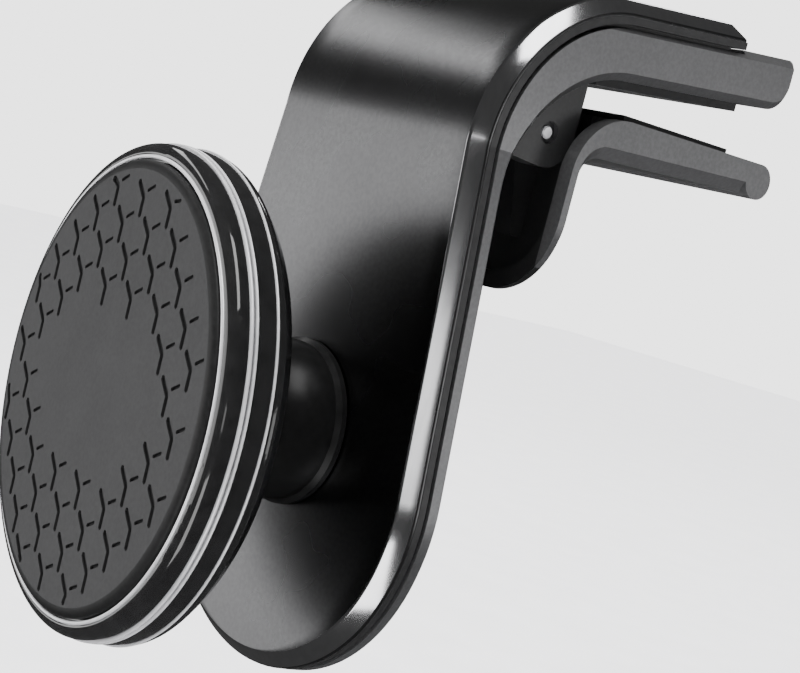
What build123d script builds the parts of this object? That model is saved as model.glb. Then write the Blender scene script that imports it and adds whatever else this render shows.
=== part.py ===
# Air-vent phone mount: a sprung clip grips a vent slat, and a magnetic head sits on a ball joint.
# Frame: +X across the mount, +Y into the vent, +Z up. The origin is the middle of the slat gap.
from build123d import *
import os
from math import atan2, cos, radians, sin, sqrt, tan

os.makedirs("parts", exist_ok=True)

# Arm: a flat strip that hangs down from the fixed jaw, bent at its top
faceY = -19.7              # front face of the arm, seen by the driver
jawCornerZ = 6.66          # height at which the jaw's top line would meet that face
jawRise = 5.7              # the jaw rises towards its tip, degrees
bendR = 14.9               # outer bend radius
plateThick = 1.4           # metal cover plate
plateBevel = 1.15          # polished bevel of the cover plate
plateInset = 0.1           # the plate is a little narrower than the arm
tapeThick = 0.2            # adhesive sheet under the plate
tapeInset = 1.6
shellBack = 2.05           # depth of the front shell's visible edge
bodyFront = 2.4            # depth at which the arm body starts; the gap is the parting line
seamInset = 0.9
armBack = 4.0              # depth of the arm's back face
innerBendR = 11.8          # bend radius on the vent side
jawUnderZ = 0.35           # height at which the jaw's underside would meet the arm's back
jawTipY = 14.9             # nose of the fixed jaw
plateTipY = 7.2            # square end of the cover plate
jawHalfWidth = 13.85
footR = 16.75              # round lower end of the arm
footZ = -37.3              # centre of the round end
taperTopZ = -7.0           # the side taper ends here
backBevel = 0.7            # bevelled rear edges
noseLowR = 2.6             # rounding of the fixed jaw's nose
noseTopR = 0.8

# Rubber pads in the mouth
padHalfWidth = 11.6
padClearance = 1.0         # open groove beside the upper pad
padSeat = 1.4              # depth of the pad seat in each jaw
padProud = 0.7
upperPadY = (-6.8, 10.5)
lowerPadY = (-2.6, 10.8)
ridgePitch = 2.1
ridgeWidth = 0.7
ridgeDepth = 0.3
ridgeMargin = 1.0          # plain border beside the ridges

# Hinge
pinY = -10.4
pinZ = -4.4
pinR = 0.55
pinFit = 0.05
earInner = 9.0
earOuter = 11.5
earR = 2.9
pinRecessR = 0.95
pinRecess = 0.45
cheekInner = 6.6
cheekOuter = 8.7
cheekR = 2.2

# Clamp lever
leverTopZ = -1.7           # top of the lower jaw
leverUnderZ = -5.35
leverTipY = 15.0
leverBendR = 5.4
leverSkin = 0.8
leverWall = 1.5            # width of the side rims
handleFrontY = -9.0
handleBackY = -7.2
handleFootZ = -18.1
handleCornerR = 7.0
leverInnerR = 1.8          # inside bend between the handle and the lower jaw
leverBevel = 1.1           # bevel round the lever's outer edge

# Torsion spring on the pin
wireR = 0.35
coilR = 1.35
coilTurns = 5.5
wireKnee = 0.37            # the wire is a little thicker where it is bent
coilPitch = 0.85

# Ball joint, on the arm's centre line
ballZ = -33.1
ballY = faceY - 3.5        # ball centre, in front of the arm
ballR = 4.0
ballGap = 0.03             # running gap on each side of the nylon rings
linerThick = 0.4
neckR = 2.1
socketR = 5.3              # outside of the threaded, slotted socket
socketBaseR = 5.9
socketLip = 2.45           # ball centre to the socket's front edge
socketSeat = 2.6           # depth of the socket's seat in the arm
socketSlot = 0.8
collarR = 6.5
collarFlangeR = 7.1
collarFit = 0.06
collarMouthR = 4.4
socketScrewRing = 3.4
headYaw = -6.67            # the head rests turned a little aside, degrees

# Magnetic head, along its own axis; s is the depth behind its front ring
headDepth = 14.8           # front ring to ball centre
padR = 18.4
ringR = 18.95
bezelR = 19.95
shellR = 20.1
trimR = 20.2
hubR = 6.2
hubS = 9.4
headScrewRing = 15.2
trayR = 13.2
magnetR = 3.6
magnetRing = 8.8
magnetCount = 6


def jawLineZ(y, depth):
    """Height at y of the jaw line that lies `depth` under the outer surface."""
    rise = radians(jawRise)
    return jawCornerZ + (y - faceY) * tan(rise) - depth / cos(rise)


def bentLine(startY, cornerZ, radius, tipY, footEdgeZ=-60.0):
    """Side view: up the arm, round the bend and out along the jaw."""
    rise = radians(jawRise)
    turn = radians(90 - jawRise)
    reach = radius * tan(turn / 2)
    half = radians(180) - turn / 2
    bendStart = Vector(0, startY, cornerZ - reach)
    centre = Vector(0, startY + radius, cornerZ - reach)
    middle = centre + Vector(0, radius * cos(half), radius * sin(half))
    bendEnd = Vector(0, startY + reach * cos(rise), cornerZ + reach * sin(rise))
    tip = Vector(0, tipY, cornerZ + (tipY - startY) * tan(rise))
    return [
        Line(Vector(0, startY, footEdgeZ), bendStart),
        ThreePointArc(bendStart, middle, bendEnd),
        Line(bendEnd, tip),
    ]


def outerLine(depth, tipY):
    """The arm's outer surface in side view, moved `depth` inwards."""
    return bentLine(faceY + depth, jawLineZ(faceY + depth, depth), bendR - depth, tipY)


def innerLine(tipY):
    """The arm's back and the jaw's underside in side view."""
    return bentLine(faceY + armBack, jawUnderZ, innerBendR, tipY)


def underZ(y):
    """Height of the fixed jaw's underside at y."""
    return jawUnderZ + (y - faceY - armBack) * tan(radians(jawRise))


def acrossX(edges, x0, x1):
    """Closed side-view edges, extruded from x0 to x1."""
    face = make_face(Wire(edges))
    return Pos(x0, 0, 0) * extrude(face, amount=x1 - x0, dir=(1, 0, 0))


def outlineX(points, x0, x1):
    """A side-view outline given as (y, z) corners, extruded from x0 to x1."""
    corners = [Vector(0, y, z) for y, z in points]
    return acrossX(Polyline(*corners, close=True).edges(), x0, x1)


def between(outer, inner):
    """The full-width solid between two side-view lines."""
    cap = Line(outer[-1] @ 1, inner[-1] @ 1)
    foot = Line(inner[0] @ 0, outer[0] @ 0)
    return acrossX(outer + [cap] + inner[::-1] + [foot], -30, 30)


def armPlan(inset):
    """Front view of the arm as a deep prism: round foot, tapered sides, straight sides above."""
    radius = footR - inset
    lean = atan2(footR - jawHalfWidth, taperTopZ - footZ)
    side = Vector(radius * cos(lean), 0, footZ + radius * sin(lean))
    knee = Vector(jawHalfWidth - inset, 0, taperTopZ)
    top = Vector(jawHalfWidth - inset, 0, 20)

    def other(p):
        return Vector(-p.X, p.Y, p.Z)

    edges = [
        ThreePointArc(other(side), Vector(0, 0, footZ - radius), side),
        Line(side, knee),
        Line(knee, top),
        Line(top, other(top)),
        Line(other(top), other(knee)),
        Line(other(knee), other(side)),
    ]
    return extrude(make_face(Wire(edges)), amount=60, dir=(0, 1, 0), both=True)


def rodY(radius, y0, y1, x=0.0, z=ballZ):
    """A cylinder along Y."""
    plane = Plane(origin=(x, y0, z), z_dir=(0, 1, 0))
    return extrude(plane * Circle(radius), amount=y1 - y0)


def rodX(radius, x0, x1, y=pinY, z=pinZ):
    """A cylinder along X."""
    plane = Plane(origin=(x0, y, z), z_dir=(1, 0, 0))
    return extrude(plane * Circle(radius), amount=x1 - x0)


def block(x0, x1, y0, y1, z0, z1):
    """A box between its corners."""
    return Pos((x0 + x1) / 2, (y0 + y1) / 2, (z0 + z1) / 2) * Box(x1 - x0, y1 - y0, z1 - z0)


def turned(points, y0=0.0):
    """(radius, depth) corners turned about the ball's Y line, with depth 0 at y0."""
    corners = [Vector(r, y0 + s, ballZ) for r, s in points]
    face = make_face(Polyline(*corners, close=True).edges())
    return revolve(face, Axis((0, 0, ballZ), (0, 1, 0)), 360)


def ringEdges(shape, radius, y, tolerance=0.02):
    """The circular edges of one radius at one depth."""
    found = shape.edges().filter_by(GeomType.CIRCLE)
    return [e for e in found if abs(e.radius - radius) < tolerance and abs((e @ 0).Y - y) < tolerance]


def ringSpots(count, radius, start=90.0):
    """(x, z) places spaced evenly round the ball's Y line."""
    turns = [radians(start + 360 * i / count) for i in range(count)]
    return [(radius * cos(t), ballZ + radius * sin(t)) for t in turns]


def save(node, *solids):
    """One STEP file for each node."""
    shape = solids[0] if len(solids) == 1 else Compound(list(solids))
    export_step(shape, "parts/" + node + ".step")


def outerDepth(p):
    """Depth of a point under the arm's outer surface."""
    rise = radians(jawRise)
    centreY = faceY + bendR
    centreZ = jawCornerZ - bendR * tan(radians(90 - jawRise) / 2)
    if p.Z < centreZ:
        return p.Y - faceY
    if (p.Y - centreY) * cos(rise) + (p.Z - centreZ) * sin(rise) > 0:
        return (jawCornerZ - p.Z) * cos(rise) + (p.Y - faceY) * sin(rise)
    return bendR - sqrt((p.Y - centreY) ** 2 + (p.Z - centreZ) ** 2)


def backDepth(p):
    """Distance of a point from the arm's back and the jaw's underside, seen from the side."""
    rise = radians(jawRise)
    backY = faceY + armBack
    centreY = backY + innerBendR
    centreZ = jawUnderZ - innerBendR * tan(radians(90 - jawRise) / 2)
    if p.Z < centreZ:
        return p.Y - backY
    if (p.Y - centreY) * cos(rise) + (p.Z - centreZ) * sin(rise) > 0:
        return (jawUnderZ - p.Z) * cos(rise) + (p.Y - backY) * sin(rise)
    return innerBendR - sqrt((p.Y - centreY) ** 2 + (p.Z - centreZ) ** 2)


def edgesWhere(shape, distance, tolerance=0.03):
    """Edges that lie on a surface all along, by a distance function."""
    return [e for e in shape.edges() if all(abs(distance(e @ t)) < tolerance for t in (0.0, 0.5, 1.0))]


def coverPlate():
    plate = between(outerLine(0, plateTipY), outerLine(plateThick, plateTipY)) & armPlan(plateInset)
    plate = chamfer(edgesWhere(plate, outerDepth), plateBevel)
    return plate - rodY(socketBaseR + 0.15, faceY - 5, faceY + 5)


def plateAdhesive():
    tipY = plateTipY - tapeInset
    sheet = between(outerLine(plateThick, tipY), outerLine(plateThick + tapeThick, tipY))
    return sheet & armPlan(tapeInset + 0.1) - rodY(socketBaseR + 0.5, faceY - 5, faceY + 5)


def frontShell():
    visible = between(outerLine(plateThick, plateTipY + 0.3), outerLine(shellBack, plateTipY + 0.3))
    tipY = plateTipY - 0.7
    spigot = between(outerLine(shellBack, tipY), outerLine(bodyFront, tipY))
    seatTip = plateTipY - tapeInset + 0.1
    seat = between(outerLine(plateThick, seatTip), outerLine(plateThick + tapeThick, seatTip))
    shell = (visible & armPlan(0.05)) + (spigot & armPlan(seamInset))
    shell = shell - (seat & armPlan(tapeInset))
    return shell - rodY(socketBaseR + 0.05, faceY - 5, faceY + 5)


def ear(x0, x1):
    """A hinge ear that hangs from the inside of the bend."""
    rearY = pinY + earR
    outline = [
        (rearY, 2.2),
        (rearY, pinZ),
        (pinY, pinZ),
        (pinY, pinZ - earR),
        (faceY + armBack - 0.4, pinZ - earR + 0.5),
        (faceY + armBack - 0.4, pinZ - 1.0),
        (-12.6, 0.4),
    ]
    return outlineX(outline, x0, x1) + rodX(earR, x0, x1)


def acrossEdges(shape):
    """Edges that run straight across the mount."""
    edges = shape.edges().filter_by(GeomType.LINE)
    return [e for e in edges if abs((e @ 0).Y - (e @ 1).Y) + abs((e @ 0).Z - (e @ 1).Z) < 0.001]


def armBody():
    body = between(outerLine(bodyFront, jawTipY), innerLine(jawTipY)) & armPlan(0)
    raised = between(outerLine(shellBack, jawTipY), outerLine(bodyFront + 0.5, jawTipY)) & armPlan(0)
    body = body + (raised & block(-30, 30, plateTipY + 0.65, 30, -10, 30))
    noseEdges = [e for e in acrossEdges(body) if (e @ 0).Y > jawTipY - 0.01]
    noseEdges.sort(key=lambda e: (e @ 0).Z)
    body = fillet(noseEdges[:1], noseLowR)
    noseEdges = [e for e in acrossEdges(body) if (e @ 0).Y > jawTipY - 0.01]
    noseEdges.sort(key=lambda e: (e @ 0).Z)
    body = fillet(noseEdges[-1:], noseTopR)
    rim = [e for e in edgesWhere(body, backDepth) if e not in acrossEdges(body)]
    body = chamfer(rim, backBevel)
    for side in (-1, 1):
        x0, x1 = sorted((side * earInner, side * earOuter))
        body = body + ear(x0, x1)
        face0, face1 = sorted((side * (earOuter - pinRecess), side * (earOuter + 1)))
        body = body - rodX(pinRecessR, face0, face1)
    body = body - rodX(pinR, -earOuter - 1, earOuter + 1)
    body = body - upperPadSeat()
    body = body - rodY(socketBaseR, faceY - 5, faceY + socketSeat)
    for x, z in ringSpots(3, socketScrewRing):
        body = body - rodY(0.8, faceY, faceY + 10, x, z)
        body = body - rodY(1.35, faceY + armBack - 0.7, faceY + armBack + 1, x, z)
    return body


def padSolid(y0, y1, halfWidth, low, high):
    """A strip between two offsets from the jaw's underside line."""
    outline = [(y0, underZ(y0) + low), (y1, underZ(y1) + low), (y1, underZ(y1) + high), (y0, underZ(y0) + high)]
    return outlineX(outline, -halfWidth, halfWidth)


def upperPadSeat():
    y0, y1 = upperPadY
    return padSolid(y0, y1 + padClearance, padHalfWidth + padClearance, -1.0, padSeat)


def ridgeCuts(y0, y1, zAt):
    """Grooves across a pad, set from its mouth face."""
    count = int((y1 - y0 - ridgeWidth) / ridgePitch)
    start = (y0 + y1) / 2 - (count - 1) * ridgePitch / 2
    places = [start + i * ridgePitch for i in range(count)]
    half = padHalfWidth - ridgeMargin
    return [
        block(-half, half, y - ridgeWidth / 2, y + ridgeWidth / 2, zAt(y) - ridgeDepth, zAt(y) + ridgeDepth)
        for y in places
    ]


def upperJawPad():
    y0, y1 = upperPadY
    pad = padSolid(y0, y1, padHalfWidth, -padProud, padSeat)
    for cut in ridgeCuts(y0, y1, lambda y: underZ(y) - padProud):
        pad = pad - cut
    return pad


def hingePin():
    end = earOuter - pinRecess + 0.3
    return chamfer(rodX(pinR, -end, end).edges().filter_by(GeomType.CIRCLE), 0.12)


def torsionSpring():
    length = coilTurns * coilPitch
    path = Helix(coilPitch, length, coilR, direction=(1, 0, 0), center=(-length / 2, 0, 0))
    section = Plane(origin=path @ 0, z_dir=path % 0) * Circle(wireR)
    coil = Pos(0, pinY, pinZ) * Rot(-90, 0, 0) * sweep(section, path, is_frenet=True)
    handleTop = Vector(-length / 2, pinY + coilR, pinZ)
    handleFoot = Vector(-length / 2, handleBackY - leverSkin - wireR - 0.05, pinZ - 8.5)
    armTop = Vector(length / 2, pinY - coilR, pinZ)
    armFoot = Vector(length / 2, faceY + armBack + wireR + 0.1, pinZ - 5.1)
    return coil + wireLeg(handleTop, handleFoot) + wireLeg(armTop, armFoot)


def wireLeg(start, end):
    """A straight wire with round ends."""
    run = end - start
    wire = extrude(Plane(origin=start, z_dir=run.normalized()) * Circle(wireR), amount=run.length)
    return wire + Pos(start) * Sphere(wireKnee) + Pos(end) * Sphere(wireKnee)


def leverProfile():
    """Side view of the lever: handle, bend and lower jaw."""
    frontY = handleFrontY
    topZ = leverTopZ
    radius = leverBendR
    turn = radius * (1 - cos(radians(45)))
    foot = Vector(0, frontY, handleFootZ - 2)
    bendLow = Vector(0, frontY, topZ - radius)
    bendMiddle = Vector(0, frontY + turn, topZ - turn)
    bendHigh = Vector(0, frontY + radius, topZ)
    tipTop = Vector(0, leverTipY - 1.6, topZ + 0.05)
    tipOut = Vector(0, leverTipY, leverTopZ - 1.2)
    tipLow = Vector(0, leverTipY - 2.4, leverUnderZ + 0.75)
    innerR = leverInnerR
    turnIn = innerR * (1 - cos(radians(45)))
    underStart = Vector(0, handleBackY + innerR, leverUnderZ)
    corner = Vector(0, handleBackY + turnIn, leverUnderZ - turnIn)
    backTop = Vector(0, handleBackY, leverUnderZ - innerR)
    backFoot = Vector(0, handleBackY, handleFootZ - 2)
    return [
        Line(foot, bendLow),
        ThreePointArc(bendLow, bendMiddle, bendHigh),
        Line(bendHigh, tipTop),
        ThreePointArc(tipTop, tipOut, tipLow),
        Line(tipLow, underStart),
        ThreePointArc(underStart, corner, backTop),
        Line(backTop, backFoot),
        Line(backFoot, foot),
    ]


def leverPlan(inset):
    """Front view of the lever as a deep prism, with the handle's rounded corners."""
    half = jawHalfWidth - inset
    corner = handleCornerR - inset
    footZEdge = handleFootZ + inset
    turn = corner * (1 - cos(radians(45)))
    edges = [
        Line(Vector(-half, 0, 5), Vector(-half, 0, footZEdge + corner)),
        ThreePointArc(
            Vector(-half, 0, footZEdge + corner),
            Vector(-half + turn, 0, footZEdge + turn),
            Vector(-half + corner, 0, footZEdge),
        ),
        Line(Vector(-half + corner, 0, footZEdge), Vector(half - corner, 0, footZEdge)),
        ThreePointArc(
            Vector(half - corner, 0, footZEdge),
            Vector(half - turn, 0, footZEdge + turn),
            Vector(half, 0, footZEdge + corner),
        ),
        Line(Vector(half, 0, footZEdge + corner), Vector(half, 0, 5)),
        Line(Vector(half, 0, 5), Vector(-half, 0, 5)),
    ]
    return extrude(make_face(Wire(edges)), amount=40, dir=(0, 1, 0), both=True)


def leverPocket():
    """The hollow between the side rims, behind the ears and down the handle."""
    skinR = leverInnerR + leverSkin
    centreY = handleBackY + leverInnerR
    centreZ = leverUnderZ - leverInnerR
    turn = skinR * cos(radians(45))
    edges = [
        Line(Vector(0, -20, -30), Vector(0, centreY - skinR, -30)),
        Line(Vector(0, centreY - skinR, -30), Vector(0, centreY - skinR, centreZ)),
        ThreePointArc(
            Vector(0, centreY - skinR, centreZ),
            Vector(0, centreY - turn, centreZ + turn),
            Vector(0, centreY, centreZ + skinR),
        ),
        Line(Vector(0, centreY, centreZ + skinR), Vector(0, -3.4, centreZ + skinR)),
        Line(Vector(0, -3.4, centreZ + skinR), Vector(0, -3.4, 5)),
        Line(Vector(0, -3.4, 5), Vector(0, -20, 5)),
        Line(Vector(0, -20, 5), Vector(0, -20, -30)),
    ]
    return acrossX(edges, -30, 30) & leverPlan(leverWall)


def cheek(x0, x1):
    """A hinge cheek of the lever, with its gusset down the handle."""
    outline = [
        (pinY - 0.6, pinZ - cheekR + 0.1),
        (handleFrontY - 0.2, pinZ - 9.0),
        (handleBackY - leverSkin + 0.2, pinZ - 9.0),
        (handleBackY - leverSkin + 0.2, pinZ - 2.9),
        (-5.0, leverUnderZ + leverSkin - 0.2),
        (-3.2, leverUnderZ + leverSkin - 0.2),
        (-3.2, leverTopZ),
        (pinY, pinZ + cheekR),
        (pinY, pinZ),
    ]
    return outlineX(outline, x0, x1) + rodX(cheekR, x0, x1)


def leverRearDepth(p):
    """Depth of a point under the lever's rear and lower surface, up to its nose."""
    inY = p.Y - handleBackY - leverInnerR
    inZ = p.Z - leverUnderZ + leverInnerR
    if inZ <= 0:
        return handleBackY - p.Y
    if inY < 0:
        return sqrt(inY ** 2 + inZ ** 2) - leverInnerR
    noseRise = 0.75 / (leverTipY - 2.4 - handleBackY - leverInnerR)
    return p.Z - leverUnderZ - noseRise * inY


def clampLever():
    lever = acrossX(leverProfile(), -jawHalfWidth, jawHalfWidth) & leverPlan(0)
    rim = [e for e in edgesWhere(lever, leverRearDepth) if abs((e @ 0.5).X) > jawHalfWidth - 0.1 or (e @ 0.5).Z < -12]
    lever = chamfer(rim, leverBevel)
    lever = lever - leverPocket()
    for side in (-1, 1):
        x0, x1 = sorted((side * cheekInner, side * cheekOuter))
        lever = lever + cheek(x0, x1)
    y0, y1 = lowerPadY
    lever = lever - block(-padHalfWidth, padHalfWidth, y0, y1, leverTopZ - padSeat + 0.1, 5)
    return lever - rodX(pinR + pinFit, -20, 20)


def lowerJawPad():
    y0, y1 = lowerPadY
    top = leverTopZ + padProud - 0.1
    pad = block(-padHalfWidth, padHalfWidth, y0, y1, leverTopZ - padSeat + 0.1, top)
    for cut in ridgeCuts(y0, y1, lambda y: top):
        pad = pad - cut
    return pad


def ballSocket():
    frontY = ballY - socketLip
    seatY = faceY + socketSeat
    baseFront = faceY + 0.1
    socket = rodY(socketR, frontY, baseFront) + rodY(socketBaseR, baseFront, seatY)
    socket = socket - Pos(0, ballY, ballZ) * Sphere(ballR + linerThick + 2 * ballGap)
    for turn in (45, 135):
        slot = block(-socketSlot / 2, socketSlot / 2, frontY - 1, ballY + 2.4, -20, 20)
        socket = socket - Pos(0, 0, ballZ) * Rot(0, turn, 0) * slot
    for x, z in ringSpots(3, socketScrewRing):
        socket = socket - rodY(0.6, seatY - 1.9, seatY + 1, x, z)
    return socket


def socketScrews():
    backY = faceY + armBack
    seatY = faceY + socketSeat
    screws = []
    for x, z in ringSpots(3, socketScrewRing):
        screw = rodY(1.3, backY - 0.7, backY - 0.1, x, z) + rodY(0.6, seatY - 1.9, backY - 0.7, x, z)
        cross = block(-0.7, 0.7, backY - 0.45, backY, -0.16, 0.16) + block(-0.16, 0.16, backY - 0.45, backY, -0.7, 0.7)
        screws.append(screw - Pos(x, 0, z) * cross)
    return screws


def lockCollar():
    rearY = faceY - 0.15
    mouthY = ballY - socketLip - 0.45
    bore = socketR + collarFit

    def spot(radius, y):
        return Vector(radius, y, ballZ)

    rearIn = spot(bore, rearY)
    rearOut = spot(collarFlangeR, rearY)
    flangeTop = spot(collarFlangeR, rearY - 0.5)
    neckLow = spot(collarR + 0.25, rearY - 0.9)
    mouthOut = spot(collarMouthR + 0.5, mouthY)
    mouthIn = spot(collarMouthR, mouthY)
    lipIn = spot(collarMouthR, mouthY + 0.3)
    boreTop = spot(bore, mouthY + 0.38)
    edges = [
        Line(rearIn, rearOut),
        Line(rearOut, flangeTop),
        Line(flangeTop, neckLow),
        ThreePointArc(neckLow, spot(collarR - 0.1, mouthY + 2.1), mouthOut),
        Line(mouthOut, mouthIn),
        Line(mouthIn, lipIn),
        Line(lipIn, boreTop),
        Line(boreTop, rearIn),
    ]
    return revolve(make_face(Wire(edges)), Axis((0, 0, ballZ), (0, 1, 0)), 360)


def linerBand(lowLatitude, highLatitude):
    """A band of a spherical shell round the ball; latitudes are degrees behind its middle."""
    inner = ballR + ballGap
    outer = inner + linerThick
    band = turned(bandCorners(inner - 0.5, outer + 0.5, lowLatitude, highLatitude), ballY)
    return (band & Pos(0, ballY, ballZ) * Sphere(outer)) - Pos(0, ballY, ballZ) * Sphere(inner)


def bandCorners(inner, outer, low, high):
    """Corners of a wedge between two latitudes, cut at two radii."""
    pairs = [(inner, low), (outer, low), (outer, (low + high) / 2), (outer, high), (inner, high)]
    return [(r * cos(radians(a)), r * sin(radians(a))) for r, a in pairs]


def headY(s):
    return ballY - headDepth + s


def headTurned(points):
    return turned(points, headY(0))


def headRod(radius, s0, s1, x=0.0, z=ballZ):
    return rodY(radius, headY(s0), headY(s1), x, z)


def swivelled(shape):
    """Turns a head piece about the upright line through the ball."""
    return Pos(0, ballY, ballZ) * Rot(0, 0, headYaw) * Pos(0, -ballY, -ballZ) * shape


def facePad():
    pad = headRod(padR, -0.55, 0.2)
    return fillet(ringEdges(pad, padR, headY(-0.55)), 0.5)


def faceAdhesive():
    return headRod(padR - 0.9, 0.2, 0.35)


def frontTrimRing():
    corners = [(padR + 0.05, 0.6), (padR + 0.05, 0.0), (padR + 0.2, -0.15), (ringR - 0.12, -0.15), (ringR, 0.0), (ringR, 0.6)]
    return headTurned(corners)


def headBezel():
    web = 0.35
    corners = [
        (0, web),
        (padR + 0.05, web),
        (padR + 0.05, 0.6),
        (ringR, 0.6),
        (ringR, 0.0),
        (bezelR, 0.0),
        (bezelR, 1.5),
        (bezelR - 0.65, 1.5),
        (bezelR - 0.65, 2.3),
        (17.9, 2.3),
        (17.9, 1.15),
        (0, 1.15),
    ]
    bezel = headTurned(corners)
    bezel = fillet(ringEdges(bezel, bezelR, headY(0.0)), 0.9)
    for x, z in ringSpots(3, headScrewRing):
        bezel = bezel - headRod(0.85, 0, 2, x, z) - headRod(1.5, 0, 0.85, x, z)
    return bezel


def grooveTrimRing():
    inner = bezelR - 0.65
    corners = [
        (inner, 1.5),
        (trimR - 0.12, 1.5),
        (trimR - 0.05, 1.58),
        (trimR - 0.05, 1.74),
        (trimR - 0.4, 1.84),
        (trimR - 0.4, 1.94),
        (trimR, 2.04),
        (trimR, 2.2),
        (trimR - 0.08, 2.3),
        (inner, 2.3),
    ]
    return headTurned(corners)


def rearTrimRing():
    corners = [(19.6, 3.7), (trimR, 3.7), (trimR + 0.06, 3.78), (trimR + 0.06, 3.92), (trimR, 4.0), (19.6, 4.0)]
    return headTurned(corners)


def headRearShell():
    corners = [
        (17.0, 1.7),
        (17.85, 1.7),
        (17.85, 2.3),
        (shellR, 2.3),
        (shellR, 3.7),
        (19.6, 3.7),
        (19.6, 4.0),
        (shellR, 4.0),
        (shellR, 4.5),
        (18.6, 6.1),
        (7.6, 8.5),
        (hubR, 8.9),
        (hubR, hubS),
        (0, hubS),
        (0, 6.6),
        (6.5, 6.6),
        (17.0, 4.9),
    ]
    shell = headTurned(corners)
    shell = fillet(ringEdges(shell, 18.6, headY(6.1)), 2.2)
    shell = fillet(ringEdges(shell, shellR, headY(4.5)), 0.9)
    for x, z in ringSpots(3, headScrewRing):
        shell = shell + headRod(1.6, 1.15, 5.6, x, z)
        shell = shell - headRod(0.6, 0, 4.6, x, z)
    return shell - headRod(neckR, 7.6, 12) - headRod(1.1, 6, 8)


def headScrews():
    screws = []
    for x, z in ringSpots(3, headScrewRing):
        screw = headRod(1.4, 0.4, 0.85, x, z) + headRod(0.6, 0.85, 4.4, x, z)
        screws.append(screw)
    return screws


def magnetTray():
    tray = headRod(trayR, 1.2, 3.9)
    for x, z in ringSpots(magnetCount, magnetRing):
        tray = tray - headRod(magnetR, 1.9, 5, x, z)
    return tray - headRod(2.0, 0, 5)


def magnets():
    return [headRod(magnetR, 1.9, 3.9, x, z) for x, z in ringSpots(magnetCount, magnetRing)]


def yokePlate():
    return headRod(trayR - 0.2, 3.9, 4.7) - headRod(2.0, 0, 5)


def ballStud():
    stud = Pos(0, ballY, ballZ) * Sphere(ballR)
    stud = stud + headRod(neckR, 7.6, headDepth - 2) + headRod(3.0, hubS, hubS + 0.5)
    return stud - headRod(0.9, 7, 11)


def studWasher():
    return headRod(2.6, 6.2, 6.6) - headRod(1.0, 6, 7)


def studScrew():
    screw = headRod(1.9, 5.1, 6.2) + headRod(0.9, 6.2, 10.9)
    return screw - headRod(0.9, 5.1, 5.8)


def saveArm():
    save("cover_plate", coverPlate())
    save("plate_adhesive", plateAdhesive())
    save("front_shell", frontShell())
    save("arm_body", armBody())
    save("upper_jaw_pad", upperJawPad())
    save("hinge_pin", hingePin())
    save("torsion_spring", torsionSpring())
    save("ball_socket", ballSocket())
    save("socket_screws", *socketScrews())
    save("lock_collar", lockCollar())
    save("liner_ring_rear", linerBand(13, 43))


def saveLever():
    save("clamp_lever", clampLever())
    save("lower_jaw_pad", lowerJawPad())


def saveHead():
    save("liner_ring_front", swivelled(linerBand(-29, -14)))
    save("ball_stud", swivelled(ballStud()))
    save("stud_screw", swivelled(studScrew()))
    save("stud_washer", swivelled(studWasher()))
    save("head_rear_shell", swivelled(headRearShell()))
    save("rear_trim_ring", swivelled(rearTrimRing()))
    save("groove_trim_ring", swivelled(grooveTrimRing()))
    save("head_bezel", swivelled(headBezel()))
    save("front_trim_ring", swivelled(frontTrimRing()))
    save("face_adhesive", swivelled(faceAdhesive()))
    save("face_pad", swivelled(facePad()))
    save("magnet_tray", swivelled(magnetTray()))
    save("magnets", *[swivelled(m) for m in magnets()])
    save("yoke_plate", swivelled(yokePlate()))
    save("head_screws", *[swivelled(s) for s in headScrews()])


saveArm()
saveLever()
saveHead()
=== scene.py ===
from math import atan2, cos, pi, radians, sin, tan

import bpy
import bmesh
from mathutils import Matrix, Vector
from mathutils.geometry import delaunay_2d_cdt


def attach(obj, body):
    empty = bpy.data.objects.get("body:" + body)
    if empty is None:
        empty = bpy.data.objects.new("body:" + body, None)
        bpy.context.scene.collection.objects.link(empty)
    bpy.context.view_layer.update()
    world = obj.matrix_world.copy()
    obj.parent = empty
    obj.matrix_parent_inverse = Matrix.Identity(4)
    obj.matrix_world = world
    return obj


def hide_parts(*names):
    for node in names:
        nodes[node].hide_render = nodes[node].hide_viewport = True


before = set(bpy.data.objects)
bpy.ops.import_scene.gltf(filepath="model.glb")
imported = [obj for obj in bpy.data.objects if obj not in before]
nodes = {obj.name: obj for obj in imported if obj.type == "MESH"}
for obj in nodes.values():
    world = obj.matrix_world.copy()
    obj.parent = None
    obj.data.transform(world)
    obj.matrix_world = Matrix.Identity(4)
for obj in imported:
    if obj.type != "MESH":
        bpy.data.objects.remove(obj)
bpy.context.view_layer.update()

mm = 0.001
scene = bpy.context.scene


def newMaterial(name):
    material = bpy.data.materials.new(name)
    material.use_nodes = True
    tree = material.node_tree
    shader = next(n for n in tree.nodes if n.type == "BSDF_PRINCIPLED")
    return material, tree, shader


def objectCoords(tree, stretch=(1, 1, 1)):
    coords = tree.nodes.new("ShaderNodeTexCoord")
    mapping = tree.nodes.new("ShaderNodeMapping")
    mapping.inputs["Scale"].default_value = stretch
    tree.links.new(coords.outputs["Object"], mapping.inputs["Vector"])
    return mapping.outputs["Vector"]


def noiseNode(tree, vector, scale, detail=4.0, roughness=0.55):
    noise = tree.nodes.new("ShaderNodeTexNoise")
    noise.inputs["Scale"].default_value = scale
    noise.inputs["Detail"].default_value = detail
    noise.inputs["Roughness"].default_value = roughness
    tree.links.new(vector, noise.inputs["Vector"])
    return noise.outputs["Fac"]


def colourRamp(tree, factor, stops):
    ramp = tree.nodes.new("ShaderNodeValToRGB")
    elements = ramp.color_ramp.elements
    while len(elements) < len(stops):
        elements.new(0.5)
    for element, (place, colour) in zip(elements, stops):
        element.position = place
        element.color = (*colour, 1) if len(colour) == 3 else colour
    tree.links.new(factor, ramp.inputs["Fac"])
    return ramp.outputs["Color"]


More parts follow.
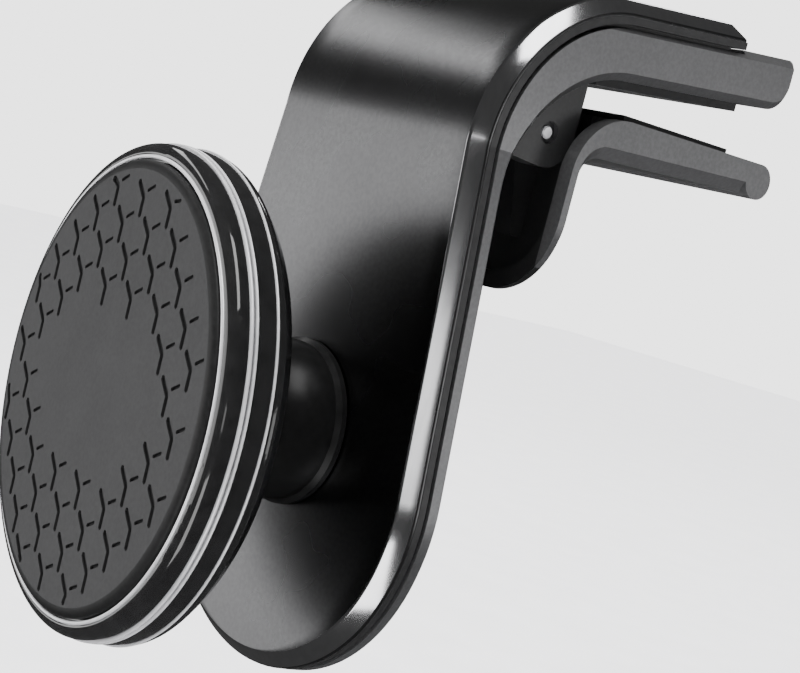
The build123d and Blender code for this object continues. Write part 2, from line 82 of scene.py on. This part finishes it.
def rangeNode(tree, factor, low, high):
    node = tree.nodes.new("ShaderNodeMapRange")
    node.inputs["From Min"].default_value = 0.3
    node.inputs["From Max"].default_value = 0.7
    node.inputs["To Min"].default_value = low
    node.inputs["To Max"].default_value = high
    tree.links.new(factor, node.inputs["Value"])
    return node.outputs["Result"]


def closeColours(tree, factor, colours):
    dark, light = colours
    return colourRamp(tree, factor, [(0.35, dark), (0.65, light)])


def broadNoise(tree):
    # slow patches that vary the roughness
    return noiseNode(tree, objectCoords(tree), 90.0, 2.0)


def bumpNode(tree, height, strength):
    bump = tree.nodes.new("ShaderNodeBump")
    bump.inputs["Strength"].default_value = strength
    bump.inputs["Distance"].default_value = 0.02 * mm
    tree.links.new(height, bump.inputs["Height"])
    return bump.outputs["Normal"]


def shadedRegionMask(tree, shadedRegion):
    # one inside a region of the piece that is painted near black as shade, given in metres, where its faces
    # turn as the region says
    coords = tree.nodes.new("ShaderNodeTexCoord")
    place = tree.nodes.new("ShaderNodeSeparateXYZ")
    tree.links.new(coords.outputs["Object"], place.inputs["Vector"])
    facing = tree.nodes.new("ShaderNodeSeparateXYZ")
    tree.links.new(coords.outputs["Normal"], facing.inputs["Vector"])

    def calculate(operation, a, b=None):
        step = tree.nodes.new("ShaderNodeMath")
        step.operation = operation
        for socket, value in zip(step.inputs, (a, b)):
            if isinstance(value, float):
                socket.default_value = value
            elif value is not None:
                tree.links.new(value, socket)
        return step.outputs["Value"]

    shadeMask = calculate("LESS_THAN", calculate("ABSOLUTE", place.outputs["X"]), shadedRegion["halfWidth"])
    for axis, limit in shadedRegion["below"].items():
        shadeMask = calculate("MULTIPLY", shadeMask, calculate("LESS_THAN", place.outputs[axis], limit))
    for axis, limit in shadedRegion["above"].items():
        shadeMask = calculate("MULTIPLY", shadeMask, calculate("GREATER_THAN", place.outputs[axis], limit))
    if shadedRegion["facing"] == "sideways":
        turned = calculate("GREATER_THAN", calculate("ABSOLUTE", facing.outputs["X"]), 0.5)
    else:
        turned = calculate("LESS_THAN", facing.outputs["Y"], 0.5)
    return calculate("MULTIPLY", shadeMask, turned)


def finish(name, look):
    # one surface from a dictionary: two close colours, a grain, a roughness range and a fine bump,
    # and for some a region painted near black and dull as the shade in a recess between parts
    material, tree, shader = newMaterial(name)
    fine = noiseNode(tree, objectCoords(tree, look.get("stretch", (1, 1, 1))), look["grain"])
    broad = broadNoise(tree)
    base = closeColours(tree, fine, look["colours"])
    shader.inputs["Metallic"].default_value = look.get("metallic", 0.0)
    # painted shade: the region's faces take near-black, non-metal colours
    if "shadedRegion" in look:
        shadeMask = shadedRegionMask(tree, look["shadedRegion"])
        mix = tree.nodes.new("ShaderNodeMix")
        mix.data_type = "RGBA"
        tree.links.new(shadeMask, mix.inputs["Factor"])
        tree.links.new(base, mix.inputs["A"])
        tree.links.new(closeColours(tree, fine, look["shadedRegion"]["colours"]), mix.inputs["B"])
        base = mix.outputs["Result"]
        metal = tree.nodes.new("ShaderNodeMapRange")
        metal.inputs["To Min"].default_value = look["metallic"]
        metal.inputs["To Max"].default_value = 0.0
        tree.links.new(shadeMask, metal.inputs["Value"])
        tree.links.new(metal.outputs["Result"], shader.inputs["Metallic"])
    tree.links.new(base, shader.inputs["Base Color"])
    tree.links.new(rangeNode(tree, broad, *look["rough"]), shader.inputs["Roughness"])
    shader.inputs["Specular IOR Level"].default_value = look.get("specular", 0.5)
    shader.inputs["Coat Weight"].default_value = look.get("coat", 0.0)
    shader.inputs["Coat Roughness"].default_value = 0.05
    if look.get("sheen"):
        shader.inputs["Sheen Weight"].default_value = look["sheen"]
        shader.inputs["Sheen Roughness"].default_value = 0.5
    if look.get("bump"):
        tree.links.new(bumpNode(tree, fine, look["bump"]), shader.inputs["Normal"])
    return material


def grey(value):
    return (value, value, value * 1.02)


# inner faces of the hinge ears, painted near black as the shade that falls between the ears and the lever
shadedEarInsides = {
    "halfWidth": 0.01162, "below": {"Z": 0.0012}, "above": {"Y": -0.0150, "Z": -0.0076},
    "facing": "sideways", "colours": (grey(0.013), grey(0.018)),
}
# inside of the lever, painted near black as the shade that falls in it
shadedLeverInside = {
    "halfWidth": 0.01236, "below": {"Y": -0.0034}, "above": {},
    "facing": "forward", "colours": (grey(0.006), grey(0.010)),
}
finishes = {
    "plateSatin": {
        "colours": (grey(0.15), grey(0.17)), "grain": 2600, "rough": (0.26, 0.3), "metallic": 1.0,
    },
    "plateBevel": {
        "colours": (grey(0.62), grey(0.68)), "grain": 1500, "rough": (0.1, 0.15), "metallic": 1.0,
        "bump": 0.02, "stretch": (1, 1, 0.2),
    },
    "plateEdge": {
        "colours": (grey(0.16), grey(0.19)), "grain": 1500, "rough": (0.25, 0.32), "metallic": 1.0,
        "bump": 0.03,
    },
    "shellBlack": {
        "colours": (grey(0.012), grey(0.018)), "grain": 1800, "rough": (0.35, 0.45), "bump": 0.1,
    },
    "bodySatin": {
        "colours": (grey(0.17), grey(0.2)), "grain": 3200, "rough": (0.3, 0.37), "metallic": 0.85,
        "bump": 0.012, "shadedRegion": shadedEarInsides,
    },
    "leverSatin": {
        "colours": (grey(0.12), grey(0.145)), "grain": 3200, "rough": (0.3, 0.37), "metallic": 0.75,
        "bump": 0.01, "shadedRegion": shadedLeverInside,
    },
    "padRubber": {
        "colours": (grey(0.01), grey(0.016)), "grain": 2400, "rough": (0.62, 0.75), "bump": 0.25,
        "sheen": 0.1,
    },
    "faceSilicone": {
        "colours": (grey(0.021), grey(0.026)), "grain": 2800, "rough": (0.6, 0.7), "bump": 0.12,
        "specular": 0.3,
    },
    # floors of the engraved grooves, painted darker than the face as the shade that falls in them
    "shadedFaceGroove": {"colours": (grey(0.004), grey(0.007)), "grain": 2800, "rough": (0.7, 0.8), "bump": 0.1},
    # the pad's rounded rim and side, painted darker than the face as the shade on its slope
    "shadedFaceRim": {
        "colours": (grey(0.005), grey(0.008)), "grain": 2800, "rough": (0.45, 0.55), "bump": 0.1,
        "specular": 0.3,
    },
    "glossBlack": {
        "colours": (grey(0.006), grey(0.009)), "grain": 700, "rough": (0.07, 0.12), "bump": 0.01,
        "coat": 0.6,
    },
    "softBlack": {
        "colours": (grey(0.004), grey(0.006)), "grain": 1600, "rough": (0.3, 0.38), "bump": 0.04,
        "specular": 0.22,
    },
    # half chrome and half pale diffuse colour: a painted reflection that keeps the trim rings and the hinge
    # pin bright all around
    "chromeAndPaintedReflection": {
        "colours": (grey(0.62), grey(0.7)), "grain": 900, "rough": (0.2, 0.26), "metallic": 0.55,
    },
    "plainSteel": {
        "colours": (grey(0.42), grey(0.5)), "grain": 2600, "rough": (0.22, 0.32), "metallic": 1.0,
        "bump": 0.06, "stretch": (0.1, 1, 1),
    },
    "springSteel": {
        "colours": (grey(0.3), grey(0.38)), "grain": 2600, "rough": (0.25, 0.35), "metallic": 1.0,
        "bump": 0.05,
    },
    "nickel": {
        "colours": ((0.6, 0.58, 0.54), (0.68, 0.66, 0.62)), "grain": 900, "rough": (0.15, 0.22),
        "metallic": 1.0, "bump": 0.02,
    },
    "nylon": {
        "colours": ((0.6, 0.59, 0.54), (0.67, 0.66, 0.61)), "grain": 1500, "rough": (0.4, 0.5),
        "bump": 0.05,
    },
    "trayPlastic": {
        "colours": (grey(0.03), grey(0.045)), "grain": 2000, "rough": (0.45, 0.55), "bump": 0.12,
    },
    "tape": {
        "colours": ((0.66, 0.65, 0.6), (0.74, 0.73, 0.68)), "grain": 1800, "rough": (0.6, 0.75),
        "bump": 0.2,
    },
}
paints = {name: finish(name, look) for name, look in finishes.items()}
print("materials made:", len(paints))


def newPiece(name, verts, faces, paintNames, paintOf=None, smooth=True):
    mesh = bpy.data.meshes.new(name)
    mesh.from_pydata([tuple(v) for v in verts], [], faces)
    for paint in paintNames:
        mesh.materials.append(paints[paint])
    if paintOf:
        for polygon, index in zip(mesh.polygons, paintOf):
            polygon.material_index = index
    mesh.validate()
    piece = bpy.data.objects.new(name, mesh)
    scene.collection.objects.link(piece)
    if smooth:
        smoothPiece(piece)
    return piece


def smoothPiece(piece, angle=32):
    piece.data.shade_smooth()
    work = bmesh.new()
    work.from_mesh(piece.data)
    bmesh.ops.recalc_face_normals(work, faces=work.faces)
    for edge in work.edges:
        if len(edge.link_faces) == 2:
            edge.smooth = edge.calc_face_angle(0.0) < radians(angle)
    work.to_mesh(piece.data)
    work.free()


def standIn(piece, body, slotName, *cadNodes):
    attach(piece, body)
    if cadNodes:
        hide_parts(*cadNodes)


# cover plate: satin face, polished bevel and a thin dull edge, in millimetres
plate = {
    "face": -19.7, "cornerHeight": 6.66, "rise": 5.7, "bend": 14.9, "thick": 1.4, "inset": 0.1,
    "halfWidth": 13.85, "footRadius": 16.75, "footHeight": -37.3, "taperTop": -7.0, "tip": 7.2,
    "holeRadius": 6.05, "ballHeight": -33.1,
    # from the back edge over the bevel to the face: distance in from the outline, depth, and which
    # finish the strip before it has
    "section": [
        (0.0, 1.4, 2), (0.0, 1.24, 2), (0.02, 1.17, 2), (0.07, 1.1, 2),
        (1.0, 0.15, 1), (1.07, 0.085, 1), (1.16, 0.03, 1), (1.3, 0.0, 1),
    ],
    "columns": 14,
}
rise = radians(plate["rise"])
bendTurn = pi / 2 - rise
bendLow = plate["cornerHeight"] - plate["bend"] * tan(bendTurn / 2)
bendY = plate["face"] + plate["bend"]
bendLength = plate["bend"] * bendTurn


def onArm(x, along, depth):
    # a point of the bent arm: across, along its outer surface from the origin's height, and down into it
    if along < bendLow:
        return Vector((x, plate["face"] + depth, along)) * mm
    angle = min((along - bendLow) / plate["bend"], bendTurn)
    radius = plate["bend"] - depth
    rest = max(along - bendLow - bendLength, 0.0)
    y = bendY - radius * cos(angle) + rest * cos(rise)
    z = bendLow + radius * sin(angle) + rest * sin(rise)
    return Vector((x, y, z)) * mm


def armRows(inset, footSteps=44, taperSteps=16, bendSteps=44, jawSteps=10):
    # (half width, height along the arm) pairs from the bottom of the foot to the jaw's end
    radius = plate["footRadius"] - inset
    lean = atan2(plate["footRadius"] - plate["halfWidth"], plate["taperTop"] - plate["footHeight"])
    rows = []
    for i in range(footSteps + 1):
        angle = -pi / 2 + (pi / 2 + lean) * i / footSteps
        rows.append((radius * cos(angle) if i else 0.0, plate["footHeight"] + radius * sin(angle)))
    sideX, sideZ = rows[-1]
    kneeX, kneeZ = plate["halfWidth"] - inset, plate["taperTop"]
    for i in range(1, taperSteps + 1):
        t = i / taperSteps
        soft = t - 0.03 * sin(pi * t) * t
        rows.append((sideX + (kneeX - sideX) * (soft * 0.6 + t * 0.4), sideZ + (kneeZ - sideZ) * t))
    jawStart = bendLow + bendLength
    tipY = bendY - plate["bend"] * cos(bendTurn)
    tipAlong = jawStart + (plate["tip"] - tipY) / cos(rise) - inset + plate["inset"]
    for i in range(1, bendSteps + 1):
        rows.append((kneeX, kneeZ + (jawStart - kneeZ) * i / bendSteps))
    for i in range(1, jawSteps + 1):
        rows.append((kneeX, jawStart + (tipAlong - jawStart) * i / jawSteps))
    return rows


def buildPlate():
    verts, faces, kinds = [], [], []
    loops = []
    for inset, depth, kind in plate["section"]:
        rows = armRows(inset + plate["inset"])
        loop = [onArm(x, a, depth) for x, a in rows] + [onArm(-x, a, depth) for x, a in rows[:0:-1]]
        loops.append((len(verts), len(loop), kind))
        verts += loop
    for (first, count, _), (second, _, kind) in zip(loops, loops[1:]):
        for k in range(count):
            n = (k + 1) % count
            faces.append((first + k, first + n, second + n, second + k))
            kinds.append(kind)
    for inset, depth in ((plate["section"][0][0], plate["thick"]), (plate["section"][-1][0], 0.0)):
        rows = armRows(inset + plate["inset"])
        columns = plate["columns"]
        start = len(verts)
        for x, a in rows:
            verts += [onArm(x * (2 * c / columns - 1), a, depth) for c in range(columns + 1)]
        for i in range(len(rows) - 1):
            for c in range(columns):
                a = start + i * (columns + 1) + c
                faces.append((a, a + 1, a + columns + 2, a + columns + 1))
                kinds.append(0 if depth == 0.0 else 2)
    paintNames = ["plateSatin", "plateBevel", "plateEdge"]
    piece = newPiece("coverPlate", verts, faces, paintNames, kinds, smooth=False)
    work = bmesh.new()
    work.from_mesh(piece.data)
    bmesh.ops.remove_doubles(work, verts=work.verts, dist=1e-6)
    bmesh.ops.dissolve_degenerate(work, edges=work.edges, dist=1e-7)
    work.to_mesh(piece.data)
    work.free()
    return piece


def cutHole(piece, radius, centre, depth):
    bpy.ops.mesh.primitive_cylinder_add(
        vertices=96, radius=radius * mm, depth=depth * mm, location=centre, rotation=(pi / 2, 0, 0))
    cutter = bpy.context.object
    cut = piece.modifiers.new("hole", "BOOLEAN")
    cut.operation = "DIFFERENCE"
    cut.solver = "EXACT"
    cut.object = cutter
    bpy.context.view_layer.update()
    mesh = bpy.data.meshes.new_from_object(piece.evaluated_get(bpy.context.evaluated_depsgraph_get()))
    piece.modifiers.remove(cut)
    piece.data = mesh
    bpy.data.objects.remove(cutter)


coverPlate = buildPlate()
cutHole(coverPlate, plate["holeRadius"], Vector((0, plate["face"], plate["ballHeight"])) * mm, 6)
smoothPiece(coverPlate, 28)
standIn(coverPlate, "arm", "plate_gunmetal", "cover_plate")
print("cover plate made")


# magnetic head's silicone face, engraved with open honeycomb strokes whose floors are painted darker as
# shade
face = {
    "radius": 18.4, "flat": 17.6, "front": -0.55, "back": 0.2, "rimDrop": 0.42, "engrave": 0.2,
    "wall": 0.045, "pitch": 5.06, "rowPitch": 2.61, "turn": -2.4, "shift": (-0.2, 10.05),
    "rows": 16, "rowsAbove": 3, "columns": 12, "blank": (11.6, 6.6), "blankCentre": (0.0, -0.2),
    "reach": 17.2, "strokeLimit": 17.7, "strokeReach": 17.2, "rimSteps": 10, "around": 200,
    # strokes of one mark: points and width
    "strokes": [
        ([(-1.32, 1.2), (-1.1, 1.0), (-0.12, 0.22), (0.0, 0.0), (0.05, -1.3)], 0.54),
        ([(0.5, 0.72), (1.5, 1.2)], 0.3),
    ],
}
ball = Vector((0, -23.2, -33.1))
headTurn = radians(-6.67)
headAxis = Vector((-sin(headTurn), cos(headTurn), 0))
headRight = Vector((cos(headTurn), sin(headTurn), 0))
headDepth = 14.8


def onHead(x, z, depth):
    return (ball + headAxis * (depth - headDepth) + headRight * x + Vector((0, 0, z))) * mm


def thickLine(points, width):
    # closed outline of a stroke with rounded ends, anticlockwise
    half = width / 2
    left, right = [], []
    for i, p in enumerate(points):
        here = Vector(p)
        before = Vector(points[max(i - 1, 0)])
        after = Vector(points[min(i + 1, len(points) - 1)])
        run = (after - before).normalized()
        side = Vector((-run.y, run.x))
        left.append(here + side * half)
        right.append(here - side * half)
    startRun = (Vector(points[1]) - Vector(points[0])).normalized()
    endRun = (Vector(points[-1]) - Vector(points[-2])).normalized()

    def cap(centre, run):
        turned = atan2(run.y, run.x)
        directions = [Vector((cos(turned + a), sin(turned + a))) for a in (-pi / 3, 0, pi / 3)]
        return [Vector(centre) + direction * half for direction in directions]

    return right + cap(points[-1], endRun) + left[::-1] + cap(points[0], -startRun)


def markPlaces():
    places = []
    turn = Matrix.Rotation(radians(face["turn"]), 2)
    blankX, blankY = face["blankCentre"]
    blankWide, blankTall = face["blank"]
    for row in range(face["rows"]):
        y = -(row - face["rowsAbove"]) * face["rowPitch"]
        for column in range(-face["columns"], face["columns"] + 1):
            x = (column + 0.5 * ((row + 1) % 2)) * face["pitch"]
            place = turn @ Vector((x, y)) + Vector(face["shift"])
            inBlank = Vector(((place.x - blankX) / blankWide, (place.y - blankY) / blankTall)).length <= 1
            if not inBlank and place.length < face["reach"]:
                places.append(place)
    return places


def buildFace():
    points, loops, heights = [], [], []

    def addLoop(loop, height):
        start = len(points)
        points.extend(loop)
        heights.extend([height] * len(loop))
        loops.append(list(range(start, start + len(loop))))

    rim = face["around"]
    circle = [Vector((cos(2 * pi * i / rim), sin(2 * pi * i / rim))) for i in range(rim)]
    addLoop([p * face["flat"] for p in circle], face["front"])
    for place in markPlaces():
        for stroke, width in face["strokes"]:
            moved = [Vector(p) + place for p in stroke]
            if (moved[0] + moved[-1]).length / 2 > face["strokeLimit"]:
                continue
            moved = [p * min(1, face["strokeReach"] / p.length) for p in moved]  # kept inside the rim
            addLoop(thickLine(moved, width), face["front"])
            addLoop(thickLine(moved, width - 2 * face["wall"]), face["front"] + face["engrave"])
    flatPoints, _, flatFaces, sources = delaunay_2d_cdt(points, [], loops, 1, 1e-5, True)[:4]
    deep = [max(heights[k] for k in source) if source else face["front"] for source in sources]
    verts = [onHead(p.x, p.y, h) for p, h in zip(flatPoints, deep)]
    faces = [tuple(f) for f in flatFaces]
    kinds = [1 if max(deep[k] for k in f) > face["front"] + 0.01 else 0 for f in faces]
    # rounded rim and side, in the rim's colour that is painted darker as shade, then the flat back
    profile = []
    for i in range(face["rimSteps"] + 1):
        angle = pi / 2 * i / face["rimSteps"]
        radius = face["flat"] + (face["radius"] - face["flat"]) * sin(angle)
        profile.append((radius, face["front"] + face["rimDrop"] * (1 - cos(angle))))
    profile.append((face["radius"], face["back"]))
    rings = []
    for radius, depth in profile:
        rings.append(len(verts))
        verts += [onHead(radius * p.x, radius * p.y, depth) for p in circle]
    for a, b in zip(rings, rings[1:]):
        for i in range(rim):
            n = (i + 1) % rim
            faces.append((a + i, a + n, b + n, b + i))
            kinds.append(2)
    faces.append(tuple(rings[-1] + i for i in range(rim)))
    kinds.append(0)
    paintNames = ["faceSilicone", "shadedFaceGroove", "shadedFaceRim"]
    piece = newPiece("siliconeFace", verts, faces, paintNames, kinds, smooth=False)
    work = bmesh.new()
    work.from_mesh(piece.data)
    bmesh.ops.remove_doubles(work, verts=work.verts, dist=2e-6)
    work.to_mesh(piece.data)
    work.free()
    smoothPiece(piece, 30)
    return piece


siliconeFace = buildFace()
standIn(siliconeFace, "head", "face_silicone", "face_pad")
print("engraved face made:", len(siliconeFace.data.polygons), "faces")


# bright beads of the head, chrome with a painted reflection, each a half-round bar turned about the head's
# axis, in millimetres
beads = {
    "frontBead": {
        "node": "front_trim_ring", "radius": 18.7, "depth": 0.0,
        "wide": 0.16, "tall": 0.15, "facing": "front", "sink": 0.58,
    },
    "grooveBeadFront": {
        "node": "groove_trim_ring", "radius": 19.95, "depth": 1.69,
        "wide": 0.15, "tall": 0.2, "facing": "out", "sink": 0.62,
    },
    "grooveBeadRear": {
        "radius": 19.98, "depth": 2.13,
        "wide": 0.11, "tall": 0.18, "facing": "out", "sink": 0.62,
    },
    "rearBead": {
        "node": "rear_trim_ring", "radius": 20.1, "depth": 3.85,
        "wide": 0.1, "tall": 0.13, "facing": "out", "sink": 0.5,
    },
}


def latheRing(name, outline, paint):
    # turns a closed outline of (radius, depth) points about the head's axis
    turns = 192
    count = len(outline)
    verts, faces = [], []
    for i in range(turns):
        angle = 2 * pi * i / turns
        verts += [onHead(radius * cos(angle), radius * sin(angle), depth) for radius, depth in outline]
    for i in range(turns):
        here, ahead = i * count, ((i + 1) % turns) * count
        for k in range(count):
            n = (k + 1) % count
            faces.append((here + k, here + n, ahead + n, ahead + k))
    return newPiece(name, verts, faces, [paint])


def buildBead(name, bead):
    radius, depth, wide = bead["radius"], bead["depth"], bead["wide"]
    steps = 12
    crown = [(wide * cos(pi * i / steps), bead["tall"] * sin(pi * i / steps)) for i in range(steps + 1)]
    if bead["facing"] == "front":
        outline = [Vector((radius + across, depth - proud)) for across, proud in crown]
        outline += [Vector((radius - wide, bead["sink"])), Vector((radius + wide, bead["sink"]))]
    else:
        outline = [Vector((radius + proud, depth + across)) for across, proud in crown]
        inner = radius - bead["sink"]
        outline += [Vector((inner, depth - wide)), Vector((inner, depth + wide))]
    piece = latheRing(name, outline, "chromeAndPaintedReflection")
    cadNodes = [bead["node"]] if "node" in bead else []
    standIn(piece, "head", "chrome_trim", *cadNodes)


for beadName, bead in beads.items():
    buildBead(beadName, bead)
print("bright beads made:", len(beads))


# torsion spring: the coil and its front leg stay with the arm, the rear leg follows the lever
spring = {
    "pin": (-10.4, -4.4), "coil": 1.35, "wire": 0.35, "turns": 5.5, "pitch": 0.85,
    "sides": 14, "stepsPerTurn": 36, "closing": 0.75,
    "armFoot": (-15.25, -9.5), "leverFoot": (-8.4, -12.9),
}


def wireTube(name, points, radius, paint):
    sides = spring["sides"]
    circle = [(cos(2 * pi * k / sides), sin(2 * pi * k / sides)) for k in range(sides)]
    verts, faces = [], []
    side = None
    for i, p in enumerate(points):
        run = (points[min(i + 1, len(points) - 1)] - points[max(i - 1, 0)]).normalized()
        side = run.orthogonal().normalized() if side is None else (side - run * side.dot(run)).normalized()
        up = run.cross(side)
        closing = spring["closing"] if i in (0, len(points) - 1) else 1.0
        verts += [(p + (side * c + up * s) * radius * closing) * mm for c, s in circle]
    for i in range(len(points) - 1):
        for k in range(sides):
            a = i * sides + k
            b = i * sides + (k + 1) % sides
            faces.append((a, b, b + sides, a + sides))
    faces.append(tuple(range(sides - 1, -1, -1)))
    faces.append(tuple((len(points) - 1) * sides + k for k in range(sides)))
    return newPiece(name, verts, faces, [paint])


def buildSpring():
    half = spring["turns"] * spring["pitch"] / 2
    pinY, pinZ = spring["pin"]
    steps = int(spring["turns"] * spring["stepsPerTurn"])
    coil = []
    for i in range(steps + 1):
        turn = 2 * pi * spring["turns"] * i / steps
        x = -half + 2 * half * i / steps
        coil.append(Vector((x, pinY + spring["coil"] * cos(turn), pinZ + spring["coil"] * sin(turn))))
    armFoot = Vector((half, *spring["armFoot"]))
    armLeg = [coil[-1].lerp(armFoot, t) for t in (0.04, 0.2, 0.5, 0.9, 0.99, 1.0)]
    leverFoot = Vector((-half, *spring["leverFoot"]))
    leverLeg = [coil[0].lerp(leverFoot, t) for t in (0.0, 0.02, 0.3, 0.6, 0.98, 1.0)]
    coilPiece = wireTube("springCoil", coil + armLeg, spring["wire"], "springSteel")
    legPiece = wireTube("springLeg", leverLeg, spring["wire"], "springSteel")
    return coilPiece, legPiece


springCoil, springLeg = buildSpring()
standIn(springCoil, "arm", "steel", "torsion_spring")
standIn(springLeg, "lever", "steel")
print("spring made")


# finishes of the pieces that come straight from the solid model
nodePaints = {
    "plate_adhesive": "tape",
    "front_shell": "shellBlack",
    "arm_body": "bodySatin",
    "upper_jaw_pad": "padRubber",
    "hinge_pin": "chromeAndPaintedReflection",
    "ball_socket": "softBlack",
    "socket_screws": "plainSteel",
    "lock_collar": "softBlack",
    "liner_ring_rear": "nylon",
    "clamp_lever": "leverSatin",
    "lower_jaw_pad": "padRubber",
    "liner_ring_front": "nylon",
    "ball_stud": "plainSteel",
    "stud_screw": "plainSteel",
    "stud_washer": "plainSteel",
    "head_rear_shell": "glossBlack",
    "rear_trim_ring": "chromeAndPaintedReflection",
    "groove_trim_ring": "chromeAndPaintedReflection",
    "head_bezel": "glossBlack",
    "front_trim_ring": "chromeAndPaintedReflection",
    "face_adhesive": "tape",
    "magnet_tray": "trayPlastic",
    "magnets": "nickel",
    "yoke_plate": "plainSteel",
    "head_screws": "plainSteel",
    "cover_plate": "plateSatin",
    "face_pad": "faceSilicone",
    "torsion_spring": "springSteel",
}
for nodeName, paintName in nodePaints.items():
    nodes[nodeName].data.materials.clear()
    nodes[nodeName].data.materials.append(paints[paintName])
print("solid model's pieces painted:", len(nodePaints))


# pale floor and backdrop, in metres; the wash is soft light from above that leaves no glint
studio = {
    "floorHeight": -0.10, "floorSize": 3.0, "floorColours": (grey(0.90), grey(0.93)),
    "sky": 3.0, "skyLight": 0.06, "wash": 11.0, "washFrom": (-0.2, -0.5, 1.0), "washSpread": 80,
}
finishes["studioFloor"] = {"colours": studio["floorColours"], "grain": 60, "rough": (0.6, 0.7), "bump": 0.02}
paints["studioFloor"] = finish("studioFloor", finishes["studioFloor"])


def buildFloor():
    half = studio["floorSize"] / 2
    height = studio["floorHeight"]
    verts = [(-half, -half, height), (half, -half, height), (half, half, height), (-half, half, height)]
    return newPiece("studioFloor", verts, [(0, 1, 2, 3)], ["studioFloor"], smooth=False)


floor = buildFloor()
floor.visible_glossy = False  # the softboxes alone draw the reflections
floor.visible_shadow = False

lights = {  # place (m), aimed at (m), width, height (m), brightness of its face
    "leftBox": ((-0.60, -0.50, -0.10), (0.0, -0.02, -0.02), 0.60, 0.34, 2.0),
    "highStrip": ((-0.54, -0.17, 0.38), (0.0, -0.02, 0.0), 0.50, 0.09, 3.2),
    "topBox": ((0.27, -0.10, 0.58), (0.0, 0.0, -0.01), 0.26, 0.46, 6.0),
    "backBox": ((-0.29, 0.52, 0.40), (0.0, 0.0, -0.01), 0.16, 0.26, 6.0),
    "rightBox": ((0.62, 0.50, -0.05), (0.0, 0.0, -0.02), 0.40, 0.24, 2.0),
    "frontBox": ((0.42, -0.48, -0.01), (0.0, 0.0, -0.02), 0.16, 0.10, 2.0),
    "lowBox": ((0.22, -0.38, -0.34), (0.0, -0.02, -0.045), 0.22, 0.32, 4.2),
}


def addLamp(name, kind, place, aim):
    lamp = bpy.data.lights.new(name, kind)
    lampObject = bpy.data.objects.new(name, lamp)
    lampObject.location = place
    lampObject.rotation_euler = (Vector(place) - Vector(aim)).to_track_quat("Z", "Y").to_euler()
    scene.collection.objects.link(lampObject)
    return lampObject


for lightName, (place, aim, width, height, brightness) in lights.items():
    box = addLamp(lightName, "AREA", place, aim)
    box.data.shape = "RECTANGLE"
    box.data.size = width
    box.data.size_y = height
    box.data.energy = brightness * pi * width * height

wash = addLamp("floorWash", "SUN", studio["washFrom"], (0, 0, 0))
wash.data.energy = studio["wash"]
wash.data.angle = radians(studio["washSpread"])
wash.visible_glossy = False

world = bpy.data.worlds.new("studioAir")
scene.world = world
world.use_nodes = True
air = world.node_tree
background = air.nodes["Background"]
background.inputs["Color"].default_value = (1, 1, 1, 1)
seen = air.nodes.new("ShaderNodeLightPath")
strength = air.nodes.new("ShaderNodeMapRange")  # bright behind the object, dim as a light
strength.inputs["To Min"].default_value = studio["skyLight"]
strength.inputs["To Max"].default_value = studio["sky"]
air.links.new(seen.outputs["Is Camera Ray"], strength.inputs["Value"])
air.links.new(strength.outputs["Result"], background.inputs["Strength"])

shot = {"azimuth": 49.81, "elevation": 3.53, "roll": 14.59, "place": (133.0, -123.1, -13.56), "lens": 90}


def buildCamera():
    azimuth, elevation, roll = (radians(shot[k]) for k in ("azimuth", "elevation", "roll"))
    back = Vector((sin(azimuth) * cos(elevation), -cos(azimuth) * cos(elevation), sin(elevation)))
    level = Vector((cos(azimuth), sin(azimuth), 0))
    lifted = back.cross(level)
    right = level * cos(roll) + lifted * sin(roll)
    up = back.cross(right)
    camera = bpy.data.objects.new("camera", bpy.data.cameras.new("camera"))
    camera.data.lens = shot["lens"]
    camera.data.sensor_width = 36
    camera.data.clip_start = 0.005
    camera.data.clip_end = 20
    turn = Matrix((right, up, back)).transposed().to_4x4()
    camera.matrix_world = Matrix.Translation(Vector(shot["place"]) * mm) @ turn
    scene.collection.objects.link(camera)
    scene.camera = camera


buildCamera()
print("studio and camera made")
